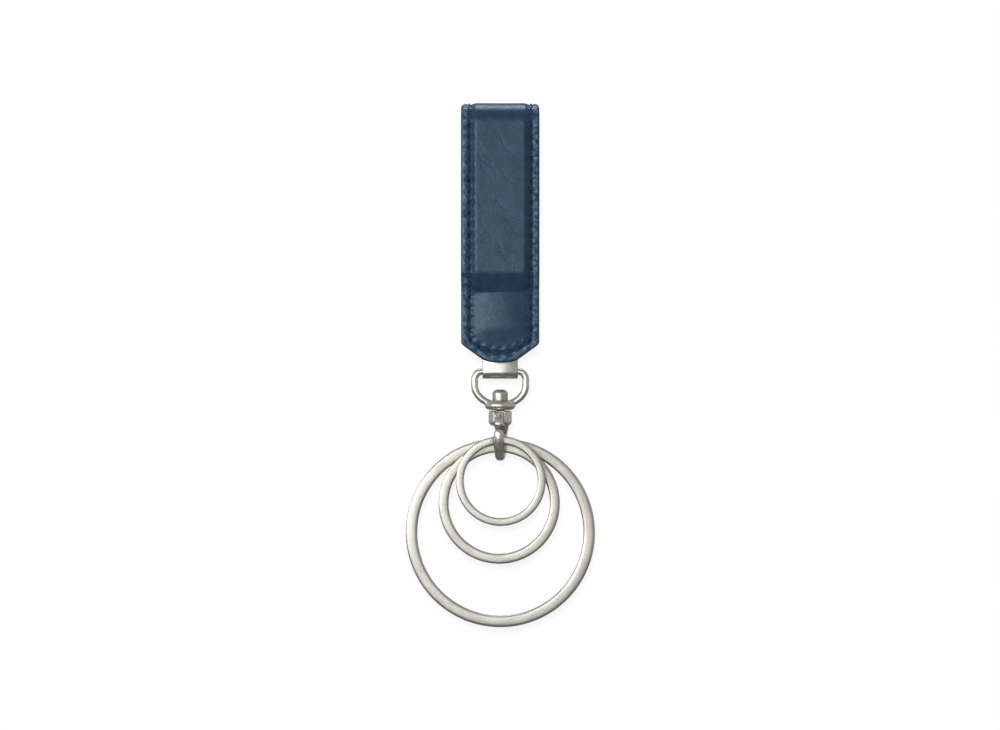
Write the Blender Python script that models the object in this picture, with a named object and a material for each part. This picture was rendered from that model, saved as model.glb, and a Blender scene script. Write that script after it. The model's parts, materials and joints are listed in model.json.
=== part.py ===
"""Belt-clip key holder: a leather-covered spring clip, a D-ring, a swivel snap hook and three split rings.

It hangs upright. +Z is up, the front faces -Y and +X is to the right. The origin lies in the middle of the
belt space, on the face of the front leaf that rests against the belt. Lengths are in metres.
"""

import math

import bmesh
import bpy
from mathutils import Matrix, Vector

MM = 0.001

# Clip: the belt-side surface is one curve in the YZ plane, and every layer lies at a depth outside it.
STRAP_WIDTH = 20.4 * MM
CLIP_TOP = 23.0 * MM
BELT_GAP = 5.0 * MM
LINING = (0.0 * MM, 0.85 * MM)
PLATE = (0.9 * MM, 1.7 * MM)
LEATHER_EDGE = (0.9 * MM, 1.85 * MM)
LEATHER_PANEL = (1.75 * MM, 2.8 * MM)
PLATE_HALF_WIDTH = 6.0 * MM
PANEL_HALF_WIDTH = 6.65 * MM
PANEL_SLOPE = 0.6 * MM
STEP_TOP = -20.9 * MM
STEP_BOTTOM = -25.3 * MM
STEP_BACK = 3.7 * MM
STEP_TOP_RADIUS = 0.4 * MM
STEP_BOTTOM_RADIUS = 3.2 * MM
PANEL_END = -36.8 * MM
PANEL_FADE = 2.2 * MM
TONGUE_CORNER = -39.4 * MM
TONGUE_SHOULDER = -40.5 * MM
TONGUE_SHOULDER_HALF = 9.4 * MM
TONGUE_NOSE = -43.95 * MM
TONGUE_NOSE_HALF = 4.6 * MM
TONGUE_TIP = -44.8 * MM
BACK_LIP_START = -28.5 * MM
BACK_PANEL_FADE = 1.5 * MM
BACK_LIP_RADIUS = 7.0 * MM
BACK_LIP_TURN = math.radians(38)
FOLD_SPLIT_GAP = 0.55 * MM
SEAM_INSET = 2.1 * MM
SEAM_TIP_INSET = 2.5 * MM
THREAD = 0.45 * MM
THREAD_CLEARANCE = 0.05 * MM

# Rolled tail of the spring plate and the D-ring that hangs in it.
TAIL_HALF_WIDTH = 4.65 * MM
TAIL_SHOULDER = -33.0 * MM
TAIL_LEAVES = -36.4 * MM
TAIL_BEHIND = -39.2 * MM
TAIL_FRONT_FACE = 4.3 * MM
SLOT_TOP = -35.9 * MM
SLOT_BOTTOM = -39.9 * MM
SLOT_CLEARANCE = 0.4 * MM
BAR_Z = -47.1 * MM
D_WIRE = 0.925 * MM
ROLL_CLEARANCE = 0.13 * MM
D_HALF_WIDTH = 6.72 * MM
BOSS_TOP = -54.8 * MM
BOSS_BOTTOM = -57.2 * MM
BOSS_RADIUS = 4.0 * MM
BOSS_BULGE = 1.3 * MM
BOSS_BORE = 1.45 * MM

# Swivel snap hook. Its own frame has the swivel axis as Z and the gate at -Y.
HOOK_YAW = math.radians(-4)
PIN_HEAD_TOP = -51.8 * MM
PIN_HEAD_RADIUS = 2.05 * MM
PIN_SHANK = 1.2 * MM
PIN_FOOT = 0.85 * MM
PIN_END = -59.0 * MM
HEAD_TOP = -57.4 * MM
HEAD_RADIUS = 3.05 * MM
HEAD_DEPTH = 3.7 * MM
HEAD_SHOULDER = -60.5 * MM
HEAD_BOTTOM = -61.3 * MM
SLOT_HALF = 1.25 * MM
SLOT_BACK = -1.2 * MM
LOOP_Y = 0.2 * MM
LOOP_Z = -63.7 * MM
LOOP_HALF_WIDTH = 5.6 * MM
LOOP_DROP = 5.85 * MM
LOOP_WIRE = 1.25 * MM
LOOP_FLATNESS = 0.76
SPINE_EXTRA = 0.2 * MM
NOSE_TIP = -62.1 * MM
GATE_PIN_Y = -2.6 * MM
GATE_PIN_Z = -58.75 * MM
GATE_PIN_RADIUS = 0.36 * MM
GATE_PIN_HALF = 1.75 * MM
GATE_HUB = 1.1 * MM
GATE_HALF = 1.15 * MM
PIN_CLEARANCE = 0.05 * MM

# Split rings: outer radius, band width, thickness of one turn, front face from the swivel axis, height of the
# inner edge's top, sideways place, and how many degrees right of the top the front cut end is.
RINGS = {
    "split_ring_small": (11.75 * MM, 2.05 * MM, 0.73 * MM, -3.80 * MM, -66.00 * MM, 0.15 * MM, 3),
    "split_ring_medium": (15.9 * MM, 2.6 * MM, 0.86 * MM, -1.20 * MM, -68.30 * MM, -0.25 * MM, 7.5),
    "split_ring_large": (24.9 * MM, 3.0 * MM, 0.96 * MM, 0.90 * MM, -67.55 * MM, 0.05 * MM, 5),
}
TURN_GAP = 0.06 * MM
RING_SEGMENT = 7.5
RING_TURN = 690
JOG_LENGTH = 3.2 * MM
RING_CHAMFER = 0.22 * MM
RING_PLAY = 0.15 * MM

FOLD_RADIUS = BELT_GAP / 2
FOLD_Z = CLIP_TOP - LEATHER_PANEL[1] - FOLD_RADIUS
FLEX_AXIS = Vector((0, FOLD_RADIUS, FOLD_Z + FOLD_RADIUS + sum(PLATE) / 2))
ROLL_INNER = D_WIRE + ROLL_CLEARANCE
PLATE_THICKNESS = PLATE[1] - PLATE[0]
TAIL_MIDDLE = TAIL_FRONT_FACE + PLATE_THICKNESS / 2
BAR_Y = TAIL_MIDDLE + ROLL_INNER + PLATE_THICKNESS / 2
BAR_AXIS = Vector((0, BAR_Y, BAR_Z))


# ---------------------------------------------------------------- materials


def finish(name, colour, roughness, metallic):
    material = bpy.data.materials.new(name)
    material.use_nodes = True
    shader = material.node_tree.nodes["Principled BSDF"]
    shader.inputs["Base Color"].default_value = (*colour, 1)
    shader.inputs["Roughness"].default_value = roughness
    shader.inputs["Metallic"].default_value = metallic
    return material


def leather():
    return finish("navy_leather", (0.022, 0.045, 0.105), 0.35, 0.0)


def lining_leather():
    return finish("navy_lining", (0.018, 0.034, 0.075), 0.55, 0.0)


def thread():
    return finish("navy_thread", (0.008, 0.018, 0.05), 0.7, 0.0)


def spring_steel():
    return finish("satin_spring_steel", (0.62, 0.6, 0.54), 0.3, 1.0)


def nickel():
    return finish("satin_nickel", (0.66, 0.64, 0.57), 0.28, 1.0)


# ---------------------------------------------------------------- mesh helpers


def add_object(name, bm, material, origin=None, parent=None, smooth_below=40):
    """The mesh as an object with its origin at the given point, in its parent's frame."""
    bmesh.ops.remove_doubles(bm, verts=bm.verts, dist=1e-7)
    bmesh.ops.recalc_face_normals(bm, faces=bm.faces)
    if origin is not None:
        bmesh.ops.translate(bm, verts=bm.verts, vec=-Vector(origin))
    mesh = bpy.data.meshes.new(name)
    bm.to_mesh(mesh)
    bm.free()
    mesh.materials.append(material)
    mesh.shade_smooth()
    mesh.set_sharp_from_angle(angle=math.radians(smooth_below))
    obj = bpy.data.objects.new(name, mesh)
    bpy.context.scene.collection.objects.link(obj)
    if origin is not None:
        obj.location = origin
    if parent is not None:
        obj.parent = parent
    return obj


def skin(sections):
    """A closed solid through equal loops of points, with flat caps at both ends."""
    bm = bmesh.new()
    loops = [[bm.verts.new(point) for point in section] for section in sections]
    for one, two in zip(loops, loops[1:]):
        for i, corner in enumerate(one):
            following = (i + 1) % len(one)
            bm.faces.new((corner, one[following], two[following], two[i]))
    bm.faces.new(reversed(loops[0]))
    bm.faces.new(loops[-1])
    return bm


def turn(profile, steps=32):
    """A solid of revolution about Z from (radius, z) points, closed onto the axis or onto itself."""
    bm = bmesh.new()
    verts = [bm.verts.new((radius, 0, z)) for radius, z in profile]
    pairs = list(zip(verts, verts[1:]))
    if profile[0][0] > 0:
        pairs.append((verts[-1], verts[0]))
    edges = [bm.edges.new(pair) for pair in pairs]
    bmesh.ops.spin(
        bm, geom=verts + edges, axis=(0, 0, 1), cent=(0, 0, 0), angle=2 * math.pi, steps=steps, use_merge=True
    )
    return bm


def tube(points, radii, sides=12, across=(1, 0, 0), flatness=1):
    """A wire along points of a plane whose normal is across, flattened within that plane."""
    across = Vector(across)
    sections = []
    for i, point in enumerate(points):
        ahead = Vector(points[min(i + 1, len(points) - 1)]) - Vector(points[max(i - 1, 0)])
        outward = ahead.normalized().cross(across).normalized()
        sections.append(
            [
                Vector(point) + radii[i] * (math.cos(a) * across + flatness * math.sin(a) * outward)
                for a in (2 * math.pi * k / sides for k in range(sides))
            ]
        )
    return skin(sections)


def box(low, high):
    bm = bmesh.new()
    bmesh.ops.create_cube(bm, size=1)
    for vert in bm.verts:
        vert.co = Vector([low[i] if vert.co[i] < 0 else high[i] for i in range(3)])
    return bm


def rod(radius, low_x, high_x, y, z, steps=20):
    """A round bar along X."""
    bm = turn([(0, high_x), (radius, high_x), (radius, low_x), (0, low_x)], steps)
    bmesh.ops.transform(bm, matrix=Matrix.Rotation(math.pi / 2, 4, "Y"), verts=bm.verts)
    bmesh.ops.translate(bm, vec=(0, y, z), verts=bm.verts)
    return bm


def combine(target, operation, helper):
    """A Boolean of a hidden helper with the target."""
    helper.hide_render = True
    helper.display_type = "WIRE"
    modifier = target.modifiers.new(helper.name, "BOOLEAN")
    modifier.operation = operation
    modifier.solver = "EXACT"
    modifier.object = helper


# ---------------------------------------------------------------- clip outline


def arc(centre, radius, start, end, steps):
    """Stations (y, z, outward y, outward z) along an arc in the YZ plane, angles in radians from +Y."""
    angles = [start + (end - start) * i / steps for i in range(steps + 1)]
    return [
        (
            centre[0] + radius * math.cos(a),
            centre[1] + radius * math.sin(a),
            math.cos(a),
            math.sin(a),
        )
        for a in angles
    ]


def step_stations():
    """The joggle, from the tongue up to the front leaf: a hollow corner, a slope and a round corner."""
    slope = math.atan2(STEP_BACK, STEP_TOP - STEP_BOTTOM)
    hollow = STEP_BOTTOM_RADIUS
    reach = math.tan(slope / 2)
    low = (STEP_BACK - hollow, STEP_BOTTOM - hollow * reach)
    high = (STEP_TOP_RADIUS, STEP_TOP + STEP_TOP_RADIUS * reach)
    inner = [
        (y, z, -ny, -nz) for y, z, ny, nz in arc(low, hollow, 0, slope, 4)
    ]
    outer = arc(high, STEP_TOP_RADIUS, math.pi + slope, math.pi, 4)
    return inner + outer


def leaf_width(z):
    """Half the leather's width at a height: straight sides, then shoulders, diagonals and a rounded nose."""
    half = STRAP_WIDTH / 2
    if z >= TONGUE_CORNER:
        return half
    if z >= TONGUE_SHOULDER:
        share = (TONGUE_CORNER - z) / (TONGUE_CORNER - TONGUE_SHOULDER)
        return half - (half - TONGUE_SHOULDER_HALF) * share**1.6
    if z >= TONGUE_NOSE:
        share = (TONGUE_SHOULDER - z) / (TONGUE_SHOULDER - TONGUE_NOSE)
        return TONGUE_SHOULDER_HALF + (TONGUE_NOSE_HALF - TONGUE_SHOULDER_HALF) * share
    share = min(1.0, (TONGUE_NOSE - z) / (TONGUE_NOSE - TONGUE_TIP))
    return TONGUE_NOSE_HALF * math.sqrt(max(0.0, 1 - share**1.3))


def tongue_stations():
    """Heights up the tongue, closer together where its outline bends."""
    tip = TONGUE_TIP + 0.04 * MM
    nose = [tip + (TONGUE_NOSE - tip) * share for share in (0, 0.12, 0.35, 0.65)]
    sides = [TONGUE_NOSE, TONGUE_SHOULDER, (TONGUE_SHOULDER + TONGUE_CORNER) / 2, TONGUE_CORNER]
    panel = [PANEL_END - PANEL_FADE, PANEL_END - PANEL_FADE / 2, PANEL_END]
    return [(STEP_BACK, z, -1, 0) for z in nose + sides + panel]


def fold_split_angle():
    """Half the angle that the gap between the two leaves takes at the plate's depth."""
    return FOLD_SPLIT_GAP / 2 / (FOLD_RADIUS + sum(PLATE) / 2)


def front_stations():
    """The front leaf from the tongue's tip to the middle of the fold."""
    middle = math.pi / 2 + fold_split_angle()
    fold = arc((FOLD_RADIUS, FOLD_Z), FOLD_RADIUS, math.pi, middle, 8)
    return tongue_stations() + step_stations() + fold


def back_stations():
    """The back leaf from the middle of the fold to its flared lip."""
    middle = math.pi / 2 - fold_split_angle()
    fold = arc((FOLD_RADIUS, FOLD_Z), FOLD_RADIUS, middle, 0, 8)
    lip = [
        (y, z, -ny, -nz)
        for y, z, ny, nz in arc(
            (BELT_GAP + BACK_LIP_RADIUS, BACK_LIP_START), BACK_LIP_RADIUS, math.pi, math.pi + BACK_LIP_TURN, 5
        )
    ]
    return fold + lip


def panel_share(station, back):
    """How far the leather stands up over the plate: all the way, fading out below the plate's end."""
    end, fade = (BACK_LIP_START, BACK_PANEL_FADE) if back else (PANEL_END, PANEL_FADE)
    return min(1.0, max(0.0, (station[1] - end + fade) / fade))


def at_depth(station, x, depth):
    y, z, ny, nz = station
    return Vector((x, y + ny * depth, z + nz * depth))


def strip(stations, columns_of):
    """A closed strip along stations. columns_of gives the inner and the outer row of (x, depth)."""
    sections = []
    for station in stations:
        inner, outer = columns_of(station)
        row = [at_depth(station, x, depth) for x, depth in inner]
        row += [at_depth(station, x, depth) for x, depth in reversed(outer)]
        sections.append(row)
    return skin(sections)


def leather_columns(back):
    def columns_of(station):
        half = STRAP_WIDTH / 2 if back else leaf_width(station[1])
        scale = half / (STRAP_WIDTH / 2)
        share = panel_share(station, back)

        def row(edge, panel, foot):
            top = edge + (panel - edge) * share
            places = (STRAP_WIDTH / 2, foot, foot - PANEL_SLOPE)
            depths = (edge, edge, top)
            left = [(-place * scale, depth) for place, depth in zip(places, depths)]
            return left + [(-x, depth) for x, depth in reversed(left)]

        outer = row(LEATHER_EDGE[1], LEATHER_PANEL[1], PANEL_HALF_WIDTH + PANEL_SLOPE)
        inner = row(LEATHER_EDGE[0], LEATHER_PANEL[0], PANEL_HALF_WIDTH + 0.15 * MM)
        return inner, outer

    return columns_of


def lining_columns(back):
    def columns_of(station):
        half = STRAP_WIDTH / 2 if back else leaf_width(station[1])
        places = [-half, -half * 0.7, half * 0.7, half]
        return [(x, LINING[0]) for x in places], [(x, LINING[1]) for x in places]

    return columns_of


# ---------------------------------------------------------------- clip parts


def make_leather(material):
    add_object("outer_leather_front", strip(front_stations(), leather_columns(False)), material)
    add_object(
        "outer_leather_back", strip(back_stations(), leather_columns(True)), material, origin=FLEX_AXIS
    )


def make_lining(material):
    front = add_object("lining_front", strip(front_stations(), lining_columns(False)), material)
    half = TAIL_HALF_WIDTH + SLOT_CLEARANCE
    slot = box((-half, STEP_BACK - 2 * MM, SLOT_BOTTOM), (half, STEP_BACK + 1 * MM, SLOT_TOP))
    combine(front, "DIFFERENCE", add_object("tail_slot", slot, material))
    add_object("lining_back", strip(back_stations(), lining_columns(True)), material, origin=FLEX_AXIS)


def ribbon(middle, halves, thickness):
    """A flat strip along points in the YZ plane, with its half-width at each point."""
    sections = []
    for i, point in enumerate(middle):
        ahead = Vector(middle[min(i + 1, len(middle) - 1)]) - Vector(middle[max(i - 1, 0)])
        side = Vector((0, -ahead.z, ahead.y)).normalized() * thickness / 2
        half = Vector((halves[i], 0, 0))
        point = Vector(point)
        sections.append([point - half - side, point + half - side, point + half + side, point - half + side])
    return skin(sections)


def tail_points():
    """The plate below the step: down inside the tongue, out through the lining and round the D-ring's bar."""
    depth = sum(PLATE) / 2
    inside = STEP_BACK - depth
    points = [(0, inside, TAIL_LEAVES + 1.2 * MM), (0, inside, TAIL_LEAVES)]
    for share in (0.2, 0.4, 0.6, 0.8):
        ease = share * share * (3 - 2 * share)
        y = inside + (TAIL_MIDDLE - inside) * ease
        points.append((0, y, TAIL_LEAVES + (TAIL_BEHIND - TAIL_LEAVES) * share))
    points.append((0, TAIL_MIDDLE, TAIL_BEHIND))
    radius = ROLL_INNER + PLATE_THICKNESS / 2
    turned = math.radians(286)
    steps = 22
    for i in range(steps + 1):
        angle = math.pi + turned * i / steps
        points.append((0, BAR_Y + radius * math.cos(angle), BAR_Z + radius * math.sin(angle)))
    return points


def make_plate(material):
    """The spring core: a flat spring under the leather of each leaf, with a tail rolled round the bar."""
    depth = sum(PLATE) / 2
    upper = [at_depth(station, 0, depth) for station in front_stations() if station[1] >= STEP_BOTTOM - 3 * MM]
    upper = [tuple(point) for point in reversed(upper)]
    tail = tail_points()
    shoulder = [(0, STEP_BACK - depth, TAIL_SHOULDER)]
    halves = [PLATE_HALF_WIDTH] * (len(upper) + 1) + [TAIL_HALF_WIDTH] * len(tail)
    add_object("spring_plate_front", ribbon(upper + shoulder + tail, halves, PLATE_THICKNESS), material)
    lower = [tuple(at_depth(station, 0, depth)) for station in back_stations() if station[1] >= BACK_LIP_START]
    back = ribbon(lower, [PLATE_HALF_WIDTH] * len(lower), PLATE_THICKNESS)
    add_object("spring_plate_back", back, material, origin=FLEX_AXIS)


def on_surface(station, x, depth):
    """A point on a layer with the direction out of it."""
    return at_depth(station, x, depth), Vector((0, station[2], station[3]))


def mirrored(seam):
    """The same seam on the other side, in the opposite order."""
    return [(Vector((-point.x, point.y, point.z)), outward) for point, outward in reversed(seam)]


def seam_front(depth):
    """The front leaf's seam: down the left side, round the tongue and up the right side."""
    side = STRAP_WIDTH / 2 - SEAM_INSET
    rows = [station for station in front_stations() if station[1] >= TONGUE_CORNER + 1 * MM]
    down = [on_surface(station, -side, depth) for station in reversed(rows)]
    shoulder = TONGUE_SHOULDER + 1.0 * MM
    bottom = TONGUE_TIP + SEAM_TIP_INSET
    turns = (
        (side, shoulder + 0.6 * MM),
        (side - 0.7 * MM, shoulder - 0.3 * MM),
        (TONGUE_NOSE_HALF - 0.6 * MM, bottom + 0.9 * MM),
        (1.8 * MM, bottom + 0.1 * MM),
    )
    left = down + [on_surface((STEP_BACK, z, -1, 0), -x, depth) for x, z in turns]
    return left + [on_surface((STEP_BACK, bottom, -1, 0), 0, depth)] + mirrored(left)


def seam_back(depth):
    """The back leaf's seam: down the left side, across above the lip and up the right side."""
    side = STRAP_WIDTH / 2 - SEAM_INSET
    down = [on_surface(station, -side, depth) for station in back_stations()[:-1]]
    return down + mirrored(down)


def cord(seam):
    """A square-section thread along points on a surface."""
    half = THREAD / 2
    sections = []
    for i, (point, outward) in enumerate(seam):
        ahead = seam[min(i + 1, len(seam) - 1)][0] - seam[max(i - 1, 0)][0]
        sideways = ahead.cross(outward).normalized()
        corners = ((-1, -1), (1, -1), (1, 1), (-1, 1))
        sections.append([point + half * (a * sideways + b * outward) for a, b in corners])
    return skin(sections)


def make_threads(material):
    depth = LEATHER_EDGE[1] + THREAD_CLEARANCE + THREAD / 2
    add_object("thread_front", cord(seam_front(depth)), material)
    add_object("thread_back", cord(seam_back(depth)), material, origin=FLEX_AXIS)


# ---------------------------------------------------------------- D-ring


def d_points():
    """Half of the bow, from the straight bar's middle to inside the boss."""
    corner = 2.2 * MM
    bar_end = 4.95 * MM
    shoulder = [(0, BAR_Z), (2.5 * MM, BAR_Z), (bar_end, BAR_Z)]
    bend_z = BAR_Z - corner
    for angle in (65, 40, 15):
        a = math.radians(angle)
        x = bar_end + (D_HALF_WIDTH - bar_end) * math.cos(a)
        shoulder.append((x, bend_z + corner * math.sin(a)))
    waist = BAR_Z - 3.6 * MM
    foot = (BOSS_TOP + BOSS_BOTTOM) / 2 + 0.15 * MM
    bow = []
    for angle in (0, -22, -40, -56, -70):
        a = math.radians(angle)
        bow.append((D_HALF_WIDTH * math.cos(a), waist + (waist - foot) * math.sin(a)))
    return shoulder + bow


def make_d_ring(material):
    half = [(x, BAR_Y, z) for x, z in d_points()]
    points = [(-x, y, z) for x, y, z in reversed(half[1:])] + half
    loop = tube(points, [D_WIRE] * len(points), sides=12, across=(0, 1, 0))
    ring = add_object("d_ring", loop, material, origin=BAR_AXIS)
    middle = (BOSS_TOP + BOSS_BOTTOM) / 2
    belly = (BOSS_TOP - BOSS_BOTTOM) / 2
    profile = [(BOSS_BORE, BOSS_TOP), (BOSS_BORE, BOSS_BOTTOM)]
    for angle in (-90, -60, -30, 0, 30, 60, 90):
        a = math.radians(angle)
        profile.append((BOSS_RADIUS - BOSS_BULGE * (1 - math.cos(a)), middle + belly * math.sin(a)))
    boss = turn(profile, 36)
    bmesh.ops.translate(boss, vec=(0, BAR_Y, 0), verts=boss.verts)
    combine(ring, "UNION", add_object("d_ring_boss", boss, material))
    bore = turn([(0, BOSS_TOP + 2 * MM), (BOSS_BORE, BOSS_TOP + 2 * MM), (BOSS_BORE, BOSS_BOTTOM - 2 * MM),
                 (0, BOSS_BOTTOM - 2 * MM)], 36)
    bmesh.ops.translate(bore, vec=(0, BAR_Y, 0), verts=bore.verts)
    combine(ring, "DIFFERENCE", add_object("d_ring_bore", bore, material))


# ---------------------------------------------------------------- swivel snap hook


def swivel_axis():
    """An empty on the swivel axis that carries the hook, turned a little to one side."""
    empty = bpy.data.objects.new("swivel_axis", None)
    bpy.context.scene.collection.objects.link(empty)
    empty.location = (0, BAR_Y, 0)
    empty.rotation_euler.z = HOOK_YAW
    return empty


def make_swivel_pin(material, axis):
    """A headed pin: its domed head rests on the boss and its foot is riveted into the hook."""
    under = BOSS_TOP + PIN_CLEARANCE
    dome = 0.9 * MM
    profile = [(0, PIN_HEAD_TOP)]
    for angle in (65, 40, 15):
        a = math.radians(angle)
        profile.append((PIN_HEAD_RADIUS * math.cos(a), PIN_HEAD_TOP - dome + dome * math.sin(a)))
    profile += [
        (PIN_HEAD_RADIUS, PIN_HEAD_TOP - dome - 0.3 * MM),
        (PIN_HEAD_RADIUS, under),
        (PIN_SHANK, under),
        (PIN_SHANK, HEAD_TOP + PIN_CLEARANCE),
        (PIN_FOOT, HEAD_TOP + PIN_CLEARANCE),
        (PIN_FOOT, PIN_END),
        (0, PIN_END),
    ]
    add_object("swivel_pin", turn(profile, 28), material, parent=axis)


def loop_points():
    """The spine, the round loop and the nose as (y, z, wire radius). The spine leaves the head's middle."""
    spine = [(0.6, -59.5, 2.0), (2.3, -59.65, 2.25), (3.8, -60.3, 2.25), (5.0, -61.5, 1.95), (5.6, -62.6, 1.65)]
    points = [(y * MM, z * MM, radius * MM) for y, z, radius in spine]
    for i in range(17):
        angle = -math.pi * i / 16
        y = LOOP_Y + LOOP_HALF_WIDTH * math.cos(angle)
        z = LOOP_Z + LOOP_DROP * math.sin(angle)
        points.append((y, z, LOOP_WIRE + SPINE_EXTRA * max(0.0, math.cos(angle))))
    front = LOOP_Y - LOOP_HALF_WIDTH
    rise = NOSE_TIP - LOOP_Z
    for share, scale in ((0.45, 0.98), (0.75, 0.85), (0.92, 0.6), (1.0, 0.25)):
        points.append((front + 0.1 * MM * share, LOOP_Z + rise * share, LOOP_WIRE * scale))
    return points


def make_hook(material, axis):
    """The cast hook: a round head slotted for the gate, a spine, a loop and a nose."""
    points = loop_points()
    places, radii = [(0, y, z) for y, z, _ in points], [radius for _, _, radius in points]
    wire = tube(places, radii, sides=14, flatness=LOOP_FLATNESS)
    hook = add_object("hook_body", wire, material, parent=axis)
    profile = [
        (0, HEAD_TOP),
        (HEAD_RADIUS - 0.45 * MM, HEAD_TOP),
        (HEAD_RADIUS, HEAD_TOP - 0.4 * MM),
        (HEAD_RADIUS - 0.05 * MM, HEAD_SHOULDER),
        (HEAD_RADIUS - 0.5 * MM, HEAD_BOTTOM + 0.15 * MM),
        (HEAD_RADIUS - 1.2 * MM, HEAD_BOTTOM),
        (0, HEAD_BOTTOM),
    ]
    head = turn(profile, 32)
    bmesh.ops.scale(head, vec=(1, HEAD_DEPTH / HEAD_RADIUS, 1), verts=head.verts)
    combine(hook, "UNION", add_object("hook_head", head, material, parent=axis))
    slot_front = GATE_PIN_Y - HEAD_RADIUS
    slot = box((-SLOT_HALF, slot_front, NOSE_TIP + 0.05 * MM), (SLOT_HALF, SLOT_BACK, HEAD_TOP + 1 * MM))
    combine(hook, "DIFFERENCE", add_object("gate_slot", slot, material, parent=axis))
    foot = PIN_FOOT + PIN_CLEARANCE
    bore = turn([(0, HEAD_TOP + 1 * MM), (foot, HEAD_TOP + 1 * MM), (foot, PIN_END - PIN_CLEARANCE),
                 (0, PIN_END - PIN_CLEARANCE)], 24)
    combine(hook, "DIFFERENCE", add_object("pin_bore", bore, material, parent=axis))
    reach = GATE_PIN_HALF + PIN_CLEARANCE
    cross = rod(GATE_PIN_RADIUS + PIN_CLEARANCE, -reach, reach, GATE_PIN_Y, GATE_PIN_Z)
    combine(hook, "DIFFERENCE", add_object("gate_pin_bore", cross, material, parent=axis))


def gate_outline():
    """Middle line of the lever with its half-thickness, from the hub to the tip on the nose."""
    return [
        (-2.9, -59.0, 0.95),
        (-3.6, -59.45, 0.95),
        (-4.25, -60.0, 0.88),
        (-4.7, -60.55, 0.76),
        (-4.95, -61.0, 0.58),
        (-5.05, -61.3, 0.38),
    ]


def make_gate(material, axis):
    """The lever that closes the hook: a hub on the cross pin and a curved arm whose tip meets the nose."""
    hinge = Vector((0, GATE_PIN_Y, GATE_PIN_Z))
    points = [Vector((0, y * MM, z * MM)) for y, z, _ in gate_outline()]
    halves = [half * MM for _, _, half in gate_outline()]
    sections = []
    for i, point in enumerate(points):
        ahead = points[min(i + 1, len(points) - 1)] - points[max(i - 1, 0)]
        side = Vector((0, -ahead.z, ahead.y)).normalized()
        turns = [2 * math.pi * (k + 0.5) / 12 for k in range(12)]
        corners = [(GATE_HALF * math.cos(a), halves[i] * math.sin(a)) for a in turns]
        sections.append([point + Vector((a, 0, 0)) + side * b for a, b in corners])
    gate = add_object("gate", skin(sections), material, origin=hinge, parent=axis)
    hub = rod(GATE_HUB, -GATE_HALF + 0.01 * MM, GATE_HALF - 0.01 * MM, GATE_PIN_Y, GATE_PIN_Z)
    combine(gate, "UNION", add_object("gate_hub", hub, material, parent=axis))
    bore = rod(GATE_PIN_RADIUS + PIN_CLEARANCE, -2 * MM, 2 * MM, GATE_PIN_Y, GATE_PIN_Z)
    combine(gate, "DIFFERENCE", add_object("gate_bore", bore, material, parent=axis))
    pin = rod(GATE_PIN_RADIUS, -GATE_PIN_HALF, GATE_PIN_HALF, GATE_PIN_Y, GATE_PIN_Z, 16)
    add_object("gate_pin", pin, material, parent=axis)


def make_gate_spring(material, axis):
    """A leaf spring against the slot's back wall that pushes the lever shut."""
    back = SLOT_BACK - 0.16 * MM
    middle = [
        (0, back, -57.95 * MM),
        (0, back, -58.9 * MM),
        (0, back - 0.02 * MM, -59.8 * MM),
        (0, back - 0.5 * MM, -60.5 * MM),
        (0, back - 1.15 * MM, -60.95 * MM),
    ]
    spring = ribbon(middle, [0.8 * MM] * len(middle), 0.16 * MM)
    add_object("gate_spring", spring, material, parent=axis)


# ---------------------------------------------------------------- split rings


def split_ring(name, size, material):
    """A flat wire wound almost twice round, which steps from the front layer to the back beside its end."""
    outer, band, layer, front, inner_top, x, start = size
    centre_z = inner_top - (outer - band)
    pitch = layer + TURN_GAP
    first = BAR_Y + front
    chamfer = RING_CHAMFER
    jog_angle = math.degrees(JOG_LENGTH / (outer - band / 2))
    steps = round(RING_TURN / RING_SEGMENT)
    sections = []
    for i in range(steps + 1):
        turned = RING_TURN * i / steps
        jog = min(1.0, max(0.0, (turned - (360 - jog_angle)) / jog_angle))
        shift = pitch * jog * jog * (3 - 2 * jog)
        a = math.radians(90 - start - turned)
        low, high = outer - band, outer
        near, far = first + shift, first + shift + layer
        corners = [
            (low + chamfer, near), (high - chamfer, near), (high, near + chamfer), (high, far - chamfer),
            (high - chamfer, far), (low + chamfer, far), (low, far - chamfer), (low, near + chamfer),
        ]
        sections.append(
            [Vector((x + r * math.cos(a), y, centre_z + r * math.sin(a))) for r, y in corners]
        )
    pivot = Vector((0, first + pitch, inner_top - LOOP_WIRE - RING_PLAY))
    return add_object(name, skin(sections), material, origin=pivot)


# ---------------------------------------------------------------- whole object


def main():
    for obj in list(bpy.data.objects):
        bpy.data.objects.remove(obj, do_unlink=True)
    metal = nickel()
    spring = spring_steel()
    make_leather(leather())
    make_lining(lining_leather())
    make_plate(spring)
    make_threads(thread())
    make_d_ring(metal)
    axis = swivel_axis()
    make_swivel_pin(metal, axis)
    make_hook(metal, axis)
    make_gate(metal, axis)
    make_gate_spring(spring, axis)
    for name, size in RINGS.items():
        split_ring(name, size, metal)


main()
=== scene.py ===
"""Looks of the belt-clip key holder: leather strap, stitches, tab, D-ring, swivel hook and split rings.

Shapes are worked out in millimetres, in the frame's axes (+Z up, the front faces -Y), and turned into metres
when a mesh is made. The strap is drawn in unrolled coordinates: x across it and s along it.
"""

import json
import math
import random

import bmesh
import bpy
import numpy as np
from mathutils import Matrix, Vector, kdtree, noise


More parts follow.
